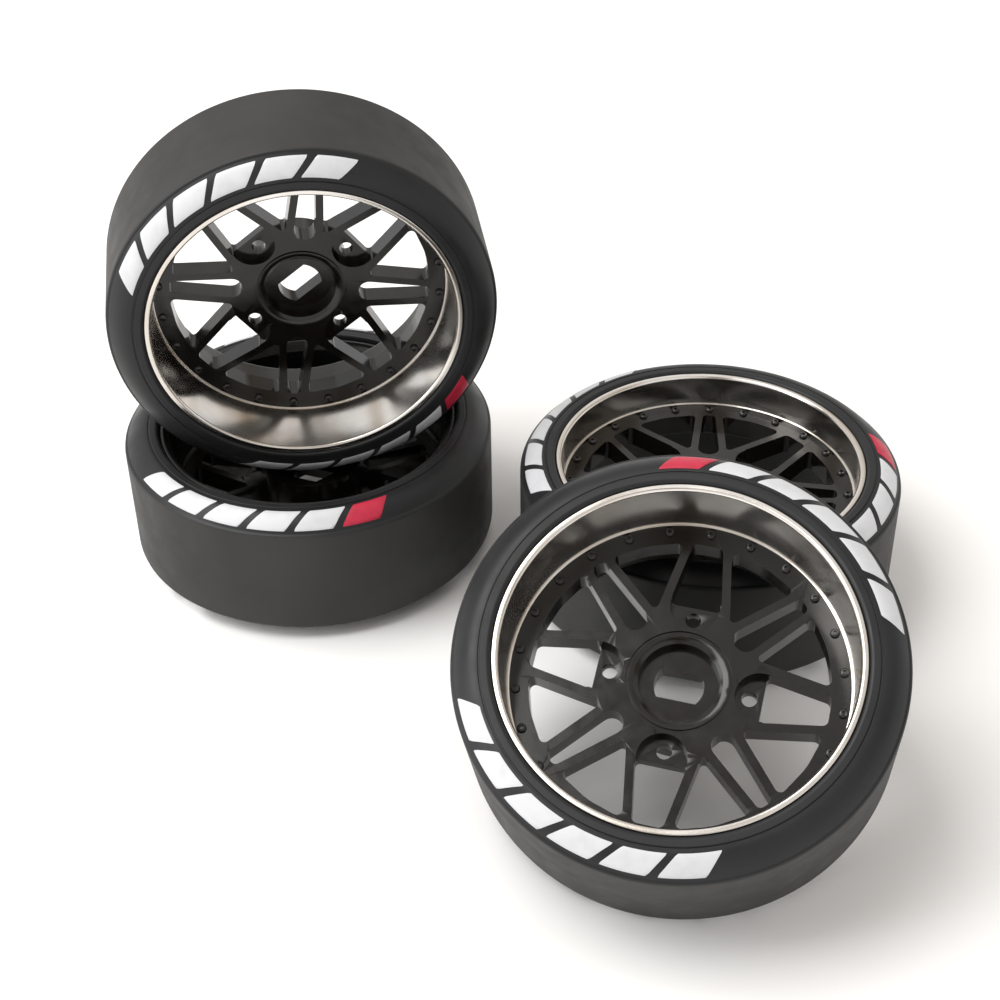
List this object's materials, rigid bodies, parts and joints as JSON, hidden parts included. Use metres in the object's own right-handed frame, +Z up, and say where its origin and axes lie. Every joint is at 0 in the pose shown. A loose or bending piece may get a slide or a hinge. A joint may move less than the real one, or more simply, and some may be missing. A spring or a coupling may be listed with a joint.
{
  "type": "model car drift wheel set",
  "caption": "Stacked set of drift wheels for a tenth-scale model car: hard slick tyres, polished dished lips, black spoked discs and rim screws.",
  "frame": {"origin": "centre of the set's footprint, on the table surface", "axes": "+Z up; +X to the right and +Y away from someone facing the front of the set; each wheel's axle direction is stated by its nut seat mount"},
  "size_m": [0.1314, 0.1324, 0.0792],
  "materials": {
    "tyre": "hard matte slick tyre",
    "black_plastic": "moulded black, semi-gloss",
    "gloss_black": "gloss black spokes with brown sheen on flats",
    "chrome": "polished dish with a brushed front edge",
    "screw_black": "small gloss black screw heads",
    "print_white": "satin white sidewall print",
    "print_red": "satin red sidewall print"
  },
  "bodies": {
    "lower_wheel": {"lower_tyre": "tyre", "lower_barrel": "black_plastic", "lower_lip": "chrome", "lower_disc": "gloss_black", "lower_screws": "screw_black", "lower_print": "print_white", "lower_flash": "print_red", "lower_back_print": "print_white", "lower_back_flash": "print_red"},
    "upright_wheel": {"upright_tyre": "tyre", "upright_barrel": "black_plastic", "upright_lip": "chrome", "upright_disc": "gloss_black", "upright_screws": "screw_black", "upright_print": "print_white", "upright_flash": "print_red", "upright_back_print": "print_white", "upright_back_flash": "print_red"},
    "flat_wheel": {"flat_tyre": "tyre", "flat_barrel": "black_plastic", "flat_lip": "chrome", "flat_disc": "gloss_black", "flat_screws": "screw_black", "flat_print": "print_white", "flat_flash": "print_red", "flat_back_print": "print_white", "flat_back_flash": "print_red"},
    "leaning_wheel": {"leaning_tyre": "tyre", "leaning_barrel": "black_plastic", "leaning_lip": "chrome", "leaning_disc": "gloss_black", "leaning_screws": "screw_black", "leaning_print": "print_white", "leaning_flash": "print_red", "leaning_back_print": "print_white", "leaning_back_flash": "print_red"}
  },
  "joints": [
    {"name": "upright_spin", "type": "hinge", "parent": "lower_wheel", "child": "upright_wheel", "pos_m": [-0.03322, 0.03726, 0.04716], "axis": [0.1457, -0.9867, -0.0715], "continuous": true},
    {"name": "flat_spin", "type": "hinge", "parent": "lower_wheel", "child": "flat_wheel", "pos_m": [0.03418, 0.02022, 0.012], "axis": [0, 0, 1], "continuous": true},
    {"name": "leaning_spin", "type": "hinge", "parent": "lower_wheel", "child": "leaning_wheel", "pos_m": [0.02419, -0.03395, 0.02361], "axis": [-0.0921, -0.4446, 0.891], "continuous": true}
  ]
}
